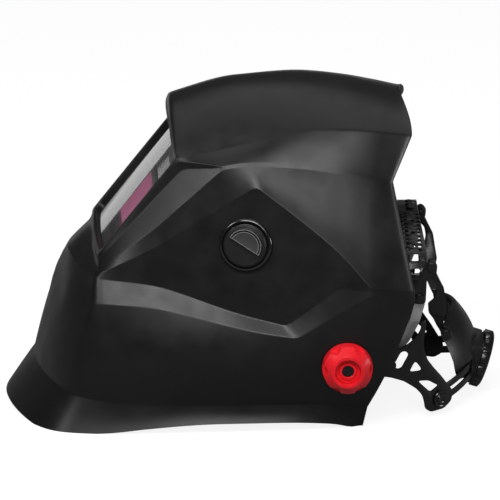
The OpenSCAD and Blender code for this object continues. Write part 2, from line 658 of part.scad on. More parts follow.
// Local z points out of the arch at angle a
module on_arch(x, a, rise) {
    translate([x, arch_point(a, rise)[0], arch_z + arch_point(a, rise)[1]])
        rotate([90 - atan2(strap_r * sin(a), rise * cos(a)), 0, 0]) children();
}
module strap_half(rise) {
    profile = concat(
        [for (a = [0:5:180]) arch_point(a, rise)],
        [for (a = [180:-5:0]) arch_point(a, rise, strap_t)]
    );
    difference() {
        union() {
            intersection() {
                union() {
                    translate([90, 0, arch_z]) rotate([90, 0, 90]) linear_extrude(60) polygon(profile);
                    translate([90, -strap_r, arch_z - 30]) cube([60, strap_t, 30.1]);
                }
                translate([0, lap, 0]) rotate([90, 0, 0]) linear_extrude(lap + 100)
                    polygon(soft_outline(strap_outline));
            }
            translate([0, strap_t - strap_r, 0]) rotate([90, 0, 0]) linear_extrude(strap_t)
                polygon(soft_outline(ear_outline));
        }
        // Honeycomb of air holes, adjusting holes, and two slots over the leg
        for (c = [0:len(comb_xs) - 1]) for (i = [0:comb_rows - 1])
            on_arch(comb_xs[c], comb_from + comb_step * (i + (c % 2) / 2), rise) translate([0, 0, -6])
                cylinder(r = comb_r, h = 12, $fn = 6);
        for (a = [38, 52, 66]) on_arch(peg_x, a, rise) translate([0, 0, -6]) cylinder(r = 1.7, h = 12);
        for (y = peg_ys) translate([peg_x, y, arch_z]) cylinder(r = 1.7, h = 60);
        translate([123, 0, 126.4]) rotate([90, 0, 0]) linear_extrude(100) rounded(7.8, 4.6, 2.2);
        translate([123.5, 0, 117.6]) rotate([90, 0, 0]) linear_extrude(100) rounded(6.5, 3.6, 1.7);
        cross_hole(strap_pin, pin_hole_r);
        cross_hole(ear_pin, pin_hole_r);
    }
}
module left_crown_strap() { color(band_col) strap_half(arch_rise); }
module right_crown_strap() { color(band_col) mirror([0, 1, 0]) strap_half(arch_rise - strap_t - 0.3); }
module strap_pegs() {
    color(band_col) for (y = peg_ys) translate([peg_x, y, arch_z + arch_rise - 2 * strap_t - 1]) {
        cylinder(r = 1.6, h = 2 * strap_t + 1.4);
        translate([0, 0, 2 * strap_t + 1.2]) cylinder(r = 2.8, h = 1.5);
    }
}

// Grey link from the crown strap's leg down to the side arm
link_outline = [
    [129.5, 100, 3], [131, 90, 8], [126.5, 76, 14], [118.5, 62, 14],
    [106.5, 52, 8], [104.5, 42, 4], [97.5, 44, 4],
    [98.5, 54, 8], [110.5, 66, 14], [118.5, 78, 14], [122.5, 91, 8], [122.5, 100, 3]
];
module strap_link() {
    color([0.6, 0.6, 0.6]) difference() {
        intersection() {
            side_cut() polygon(soft_outline(link_outline));
            arm_wall(arm_wall_r - band_t - 3.8, 2);
        }
        at_link_pin() cylinder(r = pin_hole_r, h = 180);
        cross_hole(strap_pin, pin_hole_r);
    }
}
module left_strap_link() { strap_link(); }
module right_strap_link() { mirror([0, 1, 0]) strap_link(); }

// Arm from the crown strap's ear down to the ratchet housing. Seen from the rear it bends in to the nape.
rear_outline = [
    [132.7, 126, 2], [136, 127.5, 3], [139, 122, 3], [138.8, 117, 4], [141.5, 111, 8], [145.2, 103.5, 8],
    [146.6, 94, 8], [148, 85.6, 5], [146, 76, 8], [146, 66, 6], [152.6, 62, 3], [152.6, 55.2, 3],
    [145, 55.2, 3], [144, 61.5, 4], [140.8, 68, 8], [137.6, 76, 6], [133.8, 82.5, 3], [133.2, 90, 2],
    [137.8, 94.5, 4], [139.5, 101.8, 6], [138.3, 109, 6], [135, 112.5, 5], [132.7, 116.5, 2]
];
rear_low_y = 52;
rear_profile = [
    [-75.5, 140], [-75.5, 104], [-67.5, 80], [-rear_low_y, 64], [-rear_low_y, 40],
    [band_t - rear_low_y, 40], [band_t - rear_low_y, 65], [-65.4, 81.3], [-73.1, 104.4], [-73.1, 140]
];
module rear_arm() {
    color(band_col) difference() {
        intersection() {
            side_cut() polygon(soft_outline(rear_outline));
            translate([100, 0, 0]) rotate([90, 0, 90]) linear_extrude(80) polygon(rear_profile);
        }
        cross_hole(ear_pin, pin_hole_r);
        cross_hole(nape_pin, pin_hole_r);
    }
}
module left_rear_arm() { rear_arm(); }
module right_rear_arm() { mirror([0, 1, 0]) rear_arm(); }

// Ratchet housing at the nape
nape_at = [169.7, 0, 27.4];
nape_tilt = 108;
box_w = 46;
box_h = 34;
// Heights over the box's inner face: floor, rim of the box, cover
floor_h = 1.4;
box_rim = 4;
cover_z = [4.1, 5.6];
hub_r = 6;
stub_r = 3;
// Local z points backwards out of the knob, local x points down
module at_nape() { translate(nape_at) rotate([0, nape_tilt, 0]) children(); }
// The plate is part of a ball that follows the nape
nape_mid = [112.7, 0, 25.6];
nape_r = 64.3;
housing_outline = [
    [144.6, 58.5, 2], [147.5, 63.5, 4], [151.5, 69.8, 3], [157, 70.6, 3], [182, 70.6, 0], [182, 21, 0],
    [158, 21, 3], [155.7, 27.5, 5], [154.2, 36, 8], [151.8, 42.6, 8], [148.7, 50, 6], [145.4, 55, 3]
];
boss_r = 3.8;
module nape_inside() { translate(nape_mid) sphere(nape_r - band_t); }
module ratchet_housing() {
    color(shell_col) difference() {
        union() {
            difference() {
                intersection() {
                    translate([0, 80, 0]) rotate([90, 0, 0]) linear_extrude(160)
                        polygon(soft_outline(housing_outline));
                    translate(nape_mid) sphere(nape_r);
                }
                at_nape() plate(box_h, box_w, 6, box_rim, 20);
            }
            at_nape() plate(box_h, box_w, 6, 0, box_rim);
            // Foot that fills the wedge between the plate and the leaning box
            at_nape() plate(box_h, box_w, 6, -7, 0.1);
            // Bosses that carry the rear arms
            left_and_right() translate([nape_pin[0], 0, nape_pin[1]]) rotate([90, 0, 0])
                cylinder(r = boss_r, h = rear_low_y - band_t - 0.3);
        }
        difference() {
            nape_inside();
            at_nape() plate(box_h + 2, box_w + 2, 6, 0, 20);
        }
        at_nape() plate(box_h - 5, box_w - 5, 4, floor_h, box_rim + 1);
        at_nape() translate([0, 0, -12]) cylinder(r = stub_r + run_gap, h = 20);
        left_and_right() cross_hole(nape_pin, pin_hole_r);
        left_and_right() rack_strip(0.4);
    }
}
module ratchet_cover() {
    color(shell_col) at_nape() difference() {
        plate(box_h, box_w, 6, cover_z[0], cover_z[1]);
        translate([0, 0, cover_z[0] - 1]) cylinder(r = hub_r + run_gap, h = 5);
    }
}
// Pad on the inside of the plate: crowned face, drawn-in edges
module nape_pad() {
    lies_r = nape_r - band_t - 0.3;
    low = 16;
    high = 38;
    steps = 8;
    function spot(r, i) = let (a = low + (high - low) * i / steps) r * [cos(a), sin(a)];
    color([0.22, 0.22, 0.23]) translate(nape_mid) rotate([0, 0, -32]) rotate_extrude(angle = 64)
        polygon(concat(
            [for (i = [0:steps]) spot(lies_r, i)],
            [for (i = [steps:-1:0]) spot(lies_r - 1.5 - 5 * sin(180 * i / steps), i)]
        ));
}

// Rack band: leaves the side arm's lobe square to it and bends round into the ratchet box
rack_t = 2;
rack_half_w = 6.2;
rack_slot = 3.4;
lobe_dir = [cos(lobe_turn), -sin(lobe_turn)];
rack_start = arm_wall_mid + (arm_wall_r - band_t - 1.6) * lobe_dir;
rack_end = [169.6, -24];
rack_step = rack_end - rack_start;
rack_r = -(rack_step * rack_step) / (2 * (rack_step * lobe_dir));
rack_mid = rack_start - rack_r * lobe_dir;
rack_foot = [rack_start[0], lobe_z];
rack_head = [174.2, 27];
// Side view outline of a strip of half-width w from a to b, round at a
function strip_outline(a, b, w) =
    let (u = unit(b - a) * w, n = [-u[1], u[0]])
    soft_outline([
        concat(a - u - n, 0.9 * w), concat(b - n, 0), concat(b + n, 0), concat(a - u + n, 0.9 * w)
    ]);
module rack_wall(gap) {
    translate([rack_mid[0], rack_mid[1], 0])
        ring(rack_r + rack_t / 2 + gap, rack_r - rack_t / 2 - gap, -20, 60);
}
module rack_strip(gap) {
    intersection() {
        side_cut() polygon(strip_outline(rack_foot, rack_head, rack_half_w + gap));
        rack_wall(gap);
    }
}
module band_rack() {
    color(band_col) difference() {
        rack_strip(0);
        side_cut() translate(rack_foot)
            rotate(atan2(rack_head[1] - rack_foot[1], rack_head[0] - rack_foot[0]))
            translate([11, -rack_slot / 2]) square([40, rack_slot]);
        at_lobe() cylinder(r = pin_hole_r, h = 180);
    }
}
module left_band_rack() { band_rack(); }
module right_band_rack() { mirror([0, 1, 0]) band_rack(); }

// Headed pins that hold the arms, links, straps and bands together
module headed_pin(from, to, head_r) {
    translate([0, 0, from]) cylinder(r = pin_r, h = to - from + 0.1);
    translate([0, 0, to]) cylinder(r = head_r, h = 1.4);
}
module side_pin(at, from, to) { translate([at[0], 0, at[1]]) rotate([90, 0, 0]) headed_pin(from, to, 4); }
module arm_rivets() {
    color(band_col) left_and_right() {
        side_pin(band_pin, 91.6, 98.8);
        at_link_pin() headed_pin(152.4, arm_wall_r + 0.2, 4);
        side_pin(strap_pin, 70.6, strap_r + 0.2);
        side_pin(ear_pin, 71, strap_r + 0.2);
        side_pin(nape_pin, 37.5, rear_low_y + 0.2);
        at_lobe() {
            headed_pin(155.6, arm_wall_r + 0.3, 7);
            translate([0, 0, arm_wall_r + 1.6]) cylinder(r = 4.6, h = 0.9);
        }
    }
}

// Ratchet knob
module ratchet_knob() {
    lobes = 12;
    color(shell_col) at_nape() difference() {
        union() {
            translate([0, 0, cover_z[1] + 0.3]) cylinder(r = 10, h = 2);
            translate([0, 0, 6.3]) cylinder(r = ratchet_r, h = 5.7);
            translate([0, 0, 12]) cylinder(r1 = ratchet_r, r2 = ratchet_r - 1.5, h = 1);
        }
        for (a = [0:lobes - 1]) rotate(a * 360 / lobes) translate([ratchet_r + 2, 0, 5])
            cylinder(r = 3.4, h = 10);
        translate([0, 0, 10.5]) cylinder(r = ratchet_r - 6, h = 5);
        translate([0, 0, 4]) cylinder(r = screw_r + run_gap, h = 8);
    }
}
screw_r = 1.95;
module ratchet_pinion() {
    teeth = 10;
    color(shell_col) at_nape() difference() {
        union() {
            translate([0, 0, 0.2]) cylinder(r = stub_r, h = 2);
            translate([0, 0, floor_h + 0.3]) difference() {
                cylinder(r = 7.5, h = 2);
                for (a = [0:teeth - 1]) rotate(a * 360 / teeth) translate([7.8, 0, -1])
                    cylinder(r = 1.4, h = 4);
            }
            translate([0, 0, 3.5]) cylinder(r = hub_r, h = 2.3);
        }
        translate([0, 0, 1.5]) cylinder(r = screw_r + run_gap, h = 8);
    }
}
module knob_screw() {
    color(steel_col) at_nape() {
        translate([0, 0, 1.8]) cylinder(r = screw_r, h = 9);
        translate([0, 0, 10.7]) cylinder(r = 3.6, h = 1.5);
    }
}

helmet_shell();
cover_lens();
cartridge_holder();
filter_case_front();
filter_glass();
filter_case_back();
solar_cell();
arc_sensors();
inner_cover_lens();
dial_ring();
potentiometer_body();
potentiometer_nut();
potentiometer_shaft();
shade_knob();
sensitivity_dial();
delay_dial();
test_button();
battery_tray();
coin_cell();
left_pivot_bolt();
right_pivot_bolt();
friction_washers();
slide_blocks();
left_tension_knob();
left_knob_nut();
right_tension_knob();
right_knob_nut();
left_side_arm();
right_side_arm();
forehead_band();
sweatband();
left_crown_strap();
right_crown_strap();
strap_pegs();
left_strap_link();
right_strap_link();
left_rear_arm();
right_rear_arm();
ratchet_housing();
ratchet_cover();
nape_pad();
left_band_rack();
right_band_rack();
arm_rivets();
ratchet_knob();
ratchet_pinion();
knob_screw();
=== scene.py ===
import math

import bmesh
import bpy
from mathutils import Matrix, Vector


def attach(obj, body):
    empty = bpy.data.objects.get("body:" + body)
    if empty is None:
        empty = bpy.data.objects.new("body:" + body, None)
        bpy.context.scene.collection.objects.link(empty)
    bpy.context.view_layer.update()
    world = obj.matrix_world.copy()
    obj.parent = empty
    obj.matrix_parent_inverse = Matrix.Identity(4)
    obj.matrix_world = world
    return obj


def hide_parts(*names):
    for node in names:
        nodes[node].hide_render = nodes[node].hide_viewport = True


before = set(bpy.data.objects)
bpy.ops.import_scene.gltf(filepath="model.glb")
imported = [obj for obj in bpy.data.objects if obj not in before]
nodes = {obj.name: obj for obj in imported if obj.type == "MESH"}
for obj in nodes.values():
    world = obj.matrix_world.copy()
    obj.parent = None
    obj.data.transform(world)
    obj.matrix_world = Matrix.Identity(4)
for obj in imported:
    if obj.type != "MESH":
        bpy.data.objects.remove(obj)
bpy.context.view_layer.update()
MM = 0.001
scene = bpy.context.scene
scene.view_settings.view_transform = "Standard"

# Camera: from the wearer's left and a little above, as in the photograph
IMAGE_WIDTH = 384.6 * MM
CAM_DISTANCE = 9.0
SENSOR = 36.0
CAM_RISE = math.radians(16.5)
CAM_YAW = math.radians(2.4)
CAM_AIM = Vector((0.0, 0.0, 113.5 * MM))
back = Vector((-math.sin(CAM_YAW) * math.cos(CAM_RISE), -math.cos(CAM_YAW) * math.cos(CAM_RISE),
               math.sin(CAM_RISE)))
cam_data = bpy.data.cameras.new("photo_camera")
cam_data.sensor_width = SENSOR
cam_data.lens = SENSOR * CAM_DISTANCE / IMAGE_WIDTH
cam_data.clip_start = 0.1
cam_data.clip_end = 60.0
camera = bpy.data.objects.new("photo_camera", cam_data)
scene.collection.objects.link(camera)
camera.location = CAM_AIM + back * CAM_DISTANCE
camera.rotation_mode = "QUATERNION"
camera.rotation_quaternion = (-back).to_track_quat("-Z", "Y")
scene.camera = camera


# Materials

def level(tree, fac, low, high, start=0.0, end=1.0):
    """fac from start to end, as a number from low to high."""
    made = tree.nodes.new("ShaderNodeMapRange")
    for key, value in {"From Min": start, "From Max": end, "To Min": low, "To Max": high}.items():
        made.inputs[key].default_value = value
    tree.links.new(fac, made.inputs["Value"])
    return made.outputs["Result"]


def joined(tree, operation, first, second):
    """A Math node on an output and either another output or a number."""
    made = tree.nodes.new("ShaderNodeMath")
    made.operation = operation
    tree.links.new(first, made.inputs[0])
    if isinstance(second, float):
        made.inputs[1].default_value = second
    else:
        tree.links.new(second, made.inputs[1])
    return made.outputs[0]


class Paint:
    """A node material with one Principled shader and helpers to feed its sockets."""

    def __init__(self, name, **sockets):
        self.mat = bpy.data.materials.new(name)
        self.mat.use_nodes = True
        self.tree = self.mat.node_tree
        self.shader = self.tree.nodes["Principled BSDF"]
        for key, value in sockets.items():
            self.shader.inputs[key.replace("_", " ")].default_value = value
        coords = self.tree.nodes.new("ShaderNodeTexCoord")
        self.place = coords.outputs["Object"]
        self.bumped = None

    def node(self, kind, **inputs):
        made = self.tree.nodes.new(kind)
        for key, value in inputs.items():
            made.inputs[key].default_value = value
        return made

    def link(self, out, socket):
        self.tree.links.new(out, socket)

    def noise(self, scale, detail=2.0):
        made = self.node("ShaderNodeTexNoise", Scale=scale, Detail=detail)
        self.link(self.place, made.inputs["Vector"])
        return made.outputs["Fac"]

    def ramp(self, fac, stops):
        made = self.tree.nodes.new("ShaderNodeValToRGB")
        ends = made.color_ramp.elements
        for end, (at, colour) in zip(ends, (stops[0], stops[-1])):
            end.position, end.color = at, tone(colour)
        for at, colour in stops[1:-1]:
            ends.new(at).color = tone(colour)
        self.link(fac, made.inputs["Fac"])
        return made.outputs["Color"]

    def colour(self, out):
        self.link(out, self.shader.inputs["Base Color"])

    def spread(self, fac, low, high):
        """Roughness from low to high over the middle of a noise."""
        self.link(level(self.tree, fac, low, high, 0.3, 0.7), self.shader.inputs["Roughness"])

    def bump(self, height, strength, distance):
        made = self.node("ShaderNodeBump", Strength=strength, Distance=distance)
        self.link(height, made.inputs["Height"])
        if self.bumped is not None:
            self.link(self.bumped, made.inputs["Normal"])
        self.bumped = made.outputs["Normal"]
        self.link(self.bumped, self.shader.inputs["Normal"])


def tone(colour):
    return (*colour, 1.0)


def shade(colour, share):
    return tuple(c * share for c in colour)


def moulded(name, colour, rough, grain=0.35, gloss=0.5):
    """Moulded plastic: eroded tool texture, slow changes of gloss and a little handling wear."""
    paint = Paint(name, Specular_IOR_Level=gloss)
    slow = paint.noise(28.0, 3.0)
    paint.colour(paint.ramp(slow, [(0.3, shade(colour, 0.86)), (0.7, shade(colour, 1.14))]))
    paint.spread(paint.noise(55.0, 4.0), rough - 0.05, rough + 0.06)
    paint.bump(paint.noise(1900.0, 2.0), grain, 0.00006)
    paint.bump(paint.noise(9.0, 1.0), 0.12, 0.0006)
    return paint.mat


def metal(name, colour, rough):
    """Bright or blackened steel with fine turning marks."""
    paint = Paint(name, Metallic=1.0)
    fine = paint.noise(900.0, 3.0)
    paint.colour(paint.ramp(paint.noise(60.0, 3.0), [(0.3, shade(colour, 0.85)), (0.7, colour)]))
    paint.spread(fine, rough - 0.08, rough + 0.1)
    paint.bump(fine, 0.12, 0.00004)
    return paint.mat


def fabric(name, colour, pitch, depth):
    """Knit or towelling: crossed waves as loops, a fleck of lighter yarn and a soft sheen."""
    paint = Paint(name, Roughness=0.95, Specular_IOR_Level=0.15, Sheen_Weight=0.35, Sheen_Roughness=0.5)
    wave = []
    for direction in ("X", "Z"):
        made = paint.node("ShaderNodeTexWave", Scale=1.0 / pitch, Distortion=1.5, Detail=1.0)
        made.bands_direction = direction
        paint.link(paint.place, made.inputs["Vector"])
        wave.append(made.outputs["Fac"])
    fleck = paint.noise(700.0, 3.0)
    paint.colour(paint.ramp(fleck, [(0.35, shade(colour, 0.7)), (0.55, colour), (0.75, shade(colour, 1.5))]))
    paint.bump(joined(paint.tree, "MULTIPLY", *wave), 0.6, depth)
    paint.bump(fleck, 0.4, depth * 0.5)
    return paint.mat


MIRROR_POWER = 4.5


def clear_sheet(name, colour, rough, least, most):
    """One face of a thin clear sheet. Light goes straight through, and it mirrors from least, face on, to most,
    at a low angle."""
    paint = Paint(name, Metallic=1.0)
    paint.colour(paint.ramp(paint.noise(20.0), [(0.3, shade(colour, 0.97)), (0.7, colour)]))
    paint.spread(paint.noise(45.0, 4.0), rough, rough + 0.03)
    slant = paint.node("ShaderNodeLayerWeight", Blend=0.5).outputs["Facing"]
    steep = joined(paint.tree, "POWER", slant, MIRROR_POWER)
    paint.link(level(paint.tree, steep, least, most), paint.shader.inputs["Alpha"])
    return paint.mat


def coated_pane(name):
    """Filter glass with a pink interference coat."""
    paint = Paint(name, Coat_Weight=0.3, Coat_Roughness=0.05)
    tint = paint.ramp(paint.noise(16.0), [(0.3, (0.92, 0.25, 0.5)), (0.7, (0.98, 0.3, 0.56))])
    paint.colour(tint)
    paint.spread(paint.noise(80.0, 3.0), 0.18, 0.26)
    return paint.mat


def solar_film(name):
    """Dark cell with pale bars."""
    paint = Paint(name, Roughness=0.2, Coat_Weight=0.8, Coat_Roughness=0.08)
    bars = paint.node("ShaderNodeTexWave", Scale=60.0)
    bars.bands_direction = "Y"
    paint.link(paint.place, bars.inputs["Vector"])
    paint.colour(paint.ramp(bars.outputs["Fac"], [(0.0, (0.05, 0.02, 0.035)), (0.9, (0.04, 0.02, 0.05)),
                                                  (0.96, (0.3, 0.28, 0.26))]))
    return paint.mat


PAINT = {
    "shell_plastic": moulded("shell_plastic", (0.0055, 0.0055, 0.0057), 0.36, gloss=0.38),
    "gloss_plastic": moulded("gloss_plastic", (0.005, 0.005, 0.0052), 0.16, grain=0.1, gloss=0.8),
    # Light grey painted highlight for the raised lines of the shade knob's grip
    "rubbed_edge": moulded("rubbed_edge", (0.2, 0.2, 0.2), 0.3, grain=0.1),
    "satin_face": moulded("satin_face", (0.042, 0.042, 0.043), 0.45, grain=0.15),
    "dark_plastic": moulded("dark_plastic", (0.008, 0.008, 0.0083), 0.36),
    "band_plastic": moulded("band_plastic", (0.006, 0.006, 0.0063), 0.28),
    "grey_plastic": moulded("grey_plastic", (0.36, 0.36, 0.36), 0.5),
    "red_plastic": moulded("red_plastic", (0.85, 0.012, 0.022), 0.34, grain=0.2, gloss=0.35),
    "clear_lens": clear_sheet("clear_lens", (0.97, 0.985, 0.975), 0.015, 0.05, 1.0),
    "clear_back": clear_sheet("clear_back", (0.97, 0.985, 0.975), 0.015, 0.02, 0.1),
    "filter_pane": coated_pane("filter_pane"),
    "solar_film": solar_film("solar_film"),
    "steel": metal("steel", (0.6, 0.61, 0.62), 0.32),
    "black_steel": metal("black_steel", (0.05, 0.05, 0.055), 0.4),
    "washer_plastic": moulded("washer_plastic", (0.2, 0.2, 0.21), 0.5),
    "sweat_cloth": fabric("sweat_cloth", (0.16, 0.16, 0.165), 0.0016, 0.0006),
    "pad_foam": fabric("pad_foam", (0.09, 0.09, 0.095), 0.0012, 0.0004),
}


# Mesh helpers

def new_object(name, mesh):
    made = bpy.data.objects.new(name, mesh)
    scene.collection.objects.link(made)
    return made


def baked(obj):
    """obj's mesh with its modifiers applied, and the modifiers gone."""
    bpy.context.view_layer.update()
    done = bpy.data.meshes.new_from_object(obj.evaluated_get(bpy.context.evaluated_depsgraph_get()))
    old = obj.data
    obj.modifiers.clear()
    obj.data = done
    bpy.data.meshes.remove(old)
    return obj


def soften(mesh, degrees=34.0):
    mesh.shade_smooth()
    mesh.set_sharp_from_angle(angle=math.radians(degrees))


def cut(obj, tool, operation="DIFFERENCE"):
    mod = obj.modifiers.new("cut", "BOOLEAN")
    mod.operation = operation
    mod.solver = "MANIFOLD"
    mod.object = tool
    baked(obj)
    mesh = tool.data
    bpy.data.objects.remove(tool)
    bpy.data.meshes.remove(mesh)


def smoothed(obj):
    """obj with one subdivision applied."""
    mod = obj.modifiers.new("smooth", "SUBSURF")
    mod.levels = mod.render_levels = 1
    return baked(obj)


def bridge(bm, rings, closed=False, paints=None):
    """Faces between rings of equal length, with a material index for each gap where paints are given."""
    gaps = zip(rings, rings[1:] + rings[:1] if closed else rings[1:])
    for n, (low, high) in enumerate(gaps):
        for i in range(len(low)):
            j = (i + 1) % len(low)
            made = bm.faces.new((low[i], low[j], high[j], high[i]))
            if paints:
                made.material_index = paints[n]


def finished(bm, name, matrix=None):
    """bm as a mesh, with its faces turned outwards."""
    bmesh.ops.recalc_face_normals(bm, faces=bm.faces)
    mesh = bpy.data.meshes.new(name)
    bm.to_mesh(mesh)
    bm.free()
    if matrix is not None:
        mesh.transform(matrix)
    return mesh


def sliced(bm, width, count):
    """Cuts bm across Y into count strips, so that it can bow."""
    for n in range(1, count):
        bmesh.ops.bisect_plane(bm, geom=bm.verts[:] + bm.edges[:] + bm.faces[:], dist=1e-5,
                               plane_co=(0, width * (n / count - 0.5), 0), plane_no=(0, 1, 0))


def facing(out, at):
    return Matrix.Translation(at) @ out.to_track_quat("Z", "Y").to_matrix().to_4x4()


def circle(r, steps=64):
    return [(r * math.cos(2 * math.pi * s / steps), r * math.sin(2 * math.pi * s / steps)) for s in range(steps)]


def rounded_loop(w, h, r, steps=8):
    pts = []
    for cx, cy, start in ((w / 2 - r, h / 2 - r, 0), (r - w / 2, h / 2 - r, 90), (r - w / 2, r - h / 2, 180),
                          (w / 2 - r, r - h / 2, 270)):
        for s in range(steps + 1):
            a = math.radians(start + 90 * s / steps)
            pts.append((cx + r * math.cos(a), cy + r * math.sin(a)))
    return pts


def prism(name, loops, matrix):
    """Closed solid through loops of equal length, each (points, height), in mm."""
    bm = bmesh.new()
    rings = [[bm.verts.new((x * MM, y * MM, z * MM)) for x, y in pts] for pts, z in loops]
    bridge(bm, rings)
    bm.faces.new(reversed(rings[0]))
    bm.faces.new(rings[-1])
    return new_object(name, finished(bm, name, matrix))


def straight(name, loop, low, high, matrix):
    return prism(name, [(loop, low), (loop, high)], matrix)


def turned(name, profile, matrix, steps=64):
    """A ring turned from a closed profile of (radius, height), in mm."""
    bm = bmesh.new()
    rings = []
    for s in range(steps):
        a = 2 * math.pi * s / steps
        rings.append([bm.verts.new((r * MM * math.cos(a), r * MM * math.sin(a), z * MM)) for r, z in profile])
    bridge(bm, rings, closed=True)
    mesh = finished(bm, name, matrix)
    soften(mesh)
    return new_object(name, mesh)


def dress(piece, body, slot, *replaced):
    """Gives a piece its finish, the body it rides on and the CAD nodes it stands for."""
    piece.data.materials.clear()
    piece.data.materials.append(PAINT[slot])
    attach(piece, body)
    if replaced:
        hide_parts(*replaced)
    return piece


def merged_copy(name, piece_name):
    """A new object with a CAD node's shape, its triangles joined into clean faces."""
    made = bmesh.new()
    made.from_mesh(nodes[name].data)
    bmesh.ops.remove_doubles(made, verts=made.verts, dist=2e-6)
    bmesh.ops.dissolve_limit(made, angle_limit=math.radians(0.8), verts=made.verts, edges=made.edges)
    mesh = bpy.data.meshes.new(piece_name)
    made.to_mesh(mesh)
    made.free()
    return new_object(piece_name, mesh)


EASE_SEGMENTS, EASE_ANGLE = 2, math.radians(38)


def eased(name, body, slot, width):
    """A CAD node's shape with its edges eased as a mould leaves them."""
    piece = merged_copy(name, name + "_eased")
    mod = piece.modifiers.new("ease", "BEVEL")
    mod.width = width * MM
    mod.segments = EASE_SEGMENTS
    mod.limit_method = "ANGLE"
    mod.angle_limit = EASE_ANGLE
    mod.use_clamp_overlap = True
    baked(piece)
    soften(piece.data)
    return dress(piece, body, slot, name)


def keep(name, slot):
    """A CAD node that stays as it is and takes a node material."""
    nodes[name].data.materials.clear()
    nodes[name].data.materials.append(PAINT[slot])


# The moulded shell: the same feature lines as the CAD, drawn finer and with eased creases.

CHEEK_BACK, CHEEK_DOWN = 0.1844, 0.15


def cheek(x, z, corner=0):
    return (x, 109 + CHEEK_BACK * (x - 23.4) - CHEEK_DOWN * (z - 85), z, corner)


RIM = [(-188.5, 0, 3), (-178.4, 56, 1), (-156, 96, -1.5), (-116.5, 107, 0), (-81.6, 110, 4), (-42.6, 110.5, 7),
       (-4.6, 110, 7.5), (30.5, 108, 7), (57.7, 102, 4), (71.9, 96.5, 0), (82.1, 92, -1.5)]
HEM = [(-166.5, 0, 35), (-159.1, 50, 32), (-139.7, 88, 27), (-108.2, 100, 23), (-81.4, 104.5, 22),
       (-42.4, 105.5, 21.5), (-4.5, 106, 21.5), (30.6, 104.5, 21), (58.8, 100.5, 19.5), (73.9, 97.5, 18),
       (86, 95, 16)]
LEDGE_LOW = [(-156, 0, 70), (-148.2, 50, 82.5), (-121.7, 88.5, 98.6, 1), (-81, 95.5, 97), (-58.2, 99.5, 93),
             (-25.5, 106, 86), (0.3, 111.5, 81), (31.1, 116, 77, 1), (60.1, 116.5, 94.8), (87.1, 117, 111, 1),
             (121.4, 109, 103)]
LEDGE_HIGH = [(-140.5, 0, 119), (-132.8, 43, 117), (-121.3, 78.5, 115.2, 1), cheek(-80.6, 112), cheek(-57.8, 106.8),
              cheek(-25.2, 96.4), cheek(-4.3, 90.7), cheek(23.4, 85, 1), cheek(64.3, 115.7, 1),
              cheek(87.1, 113.6, 1), (121.3, 108.3, 107)]
CHEEK_TOP = [(-135, 0, 124), (-128.6, 40, 122), (-119.2, 77, 118.6, 1), cheek(-80.5, 138), cheek(-57.6, 152.5),
             cheek(-24.7, 173.3), cheek(1.2, 190, 1), cheek(33.9, 166.1), cheek(64.5, 141.1),
             cheek(87.1, 116.2, 1), (121, 107.5, 111)]
RIDGE = [(-131, 0, 127), (-125.6, 37.5, 125.2), (-118.5, 72.5, 121.9, 1), (-80.3, 77.5, 150.8), (-54.9, 79.5, 173.4),
         (-24.3, 80, 201, 1), (-3.3, 80.5, 203.5), (34.6, 82, 201.6), (65.5, 83, 197.5), (88.5, 82, 192.8),
         (105.6, 79, 188.7)]
RISER = [(-127, 0, 129.2), (-122.9, 34.5, 127.8), (-118.8, 67, 126.2, 1), (-85.3, 66.2, 164.5),
         (-54.3, 65.8, 198.2, 1), (-24.5, 79.2, 202.2, 1), (-3.3, 79.7, 204.8), (34.6, 81.2, 203), (65.5, 82.2, 199),
         (88.5, 81.2, 194.3), (106.2, 78.3, 190.2)]
BROW_SEAM = [(-124, 0, 130.4), (-121.9, 33.3, 129.4), (-119, 65.2, 128, 1), (-87.7, 65, 166.6),
             (-57.7, 64.6, 203.8, 1), (-24.7, 78.5, 203.4, 1), (-3.3, 78.9, 206.2), (34.6, 80.3, 204.5),
             (65.6, 81.3, 200.5), (88.6, 80.3, 195.8), (106.7, 77.6, 191.7)]
SHOULDER = [(-122, 0, 131.5), (-121.1, 32, 131), (-119.2, 64, 129.5, 1), (-88.95, 64, 167.75),
            (-58.7, 64, 206, 1), (-23.7, 64.5, 213), (-2.7, 64.5, 218), (35.3, 64, 226.6), (66.3, 64, 227.5),
            (89.3, 64, 226), (121.4, 61, 221)]
WIN_MID = [(-122, 0, 131.5), (-91.5, 0, 167.75), (-61, 0, 204)]
CROWN_MID = [(-62, 0, 238), (-25, 0, 249.5), (0, 0, 252.7), (36, 0, 254.5), (69, 0, 250.7), (92, 0, 245.9),
             (115, 0, 240.3)]
BROW_FACE = [(-61, 0, 204), (-62.5, 0, 215), (-65, 0, 230), (-62, 0, 238)]
LINES = [RIM, HEM, LEDGE_LOW, LEDGE_HIGH, CHEEK_TOP, RIDGE, RISER, BROW_SEAM, SHOULDER]
SWELL = [
    (0.5, 0, -0.5, -1, -1, -1, -1, -1, -1, -0.5, 0),
    (0.5, 1, 3, 5, 5.5, 6, 6, 6, 7.8, 8.5, 7),
    (4, 3, 0, 0, 0, 0, 0, 0, 0, 0, 0),
    (0,) * 11,
    (0, 0, 0, 0, 0, 0, 0, -1.5, -2, -1.5, 0),
    (0,) * 11,
    (0,) * 11,
    (0, 0, 0, 0, 0, 0.5, 1, 1, 1, 1, 0.5),
]
SPAN_STEPS = [7, 7, 6, 6, 6, 5, 6, 6, 5, 7]
BAND_STEPS = [5, 10, 4, 7, 7, 4, 3, 5]
BROW_SHARES = [0.05, 0.18, 0.33, 0.5, 0.67, 0.82, 0.95]
CROWN_BOW = 2
REAR_SPAN, REAR_FREE = 9, 0.84
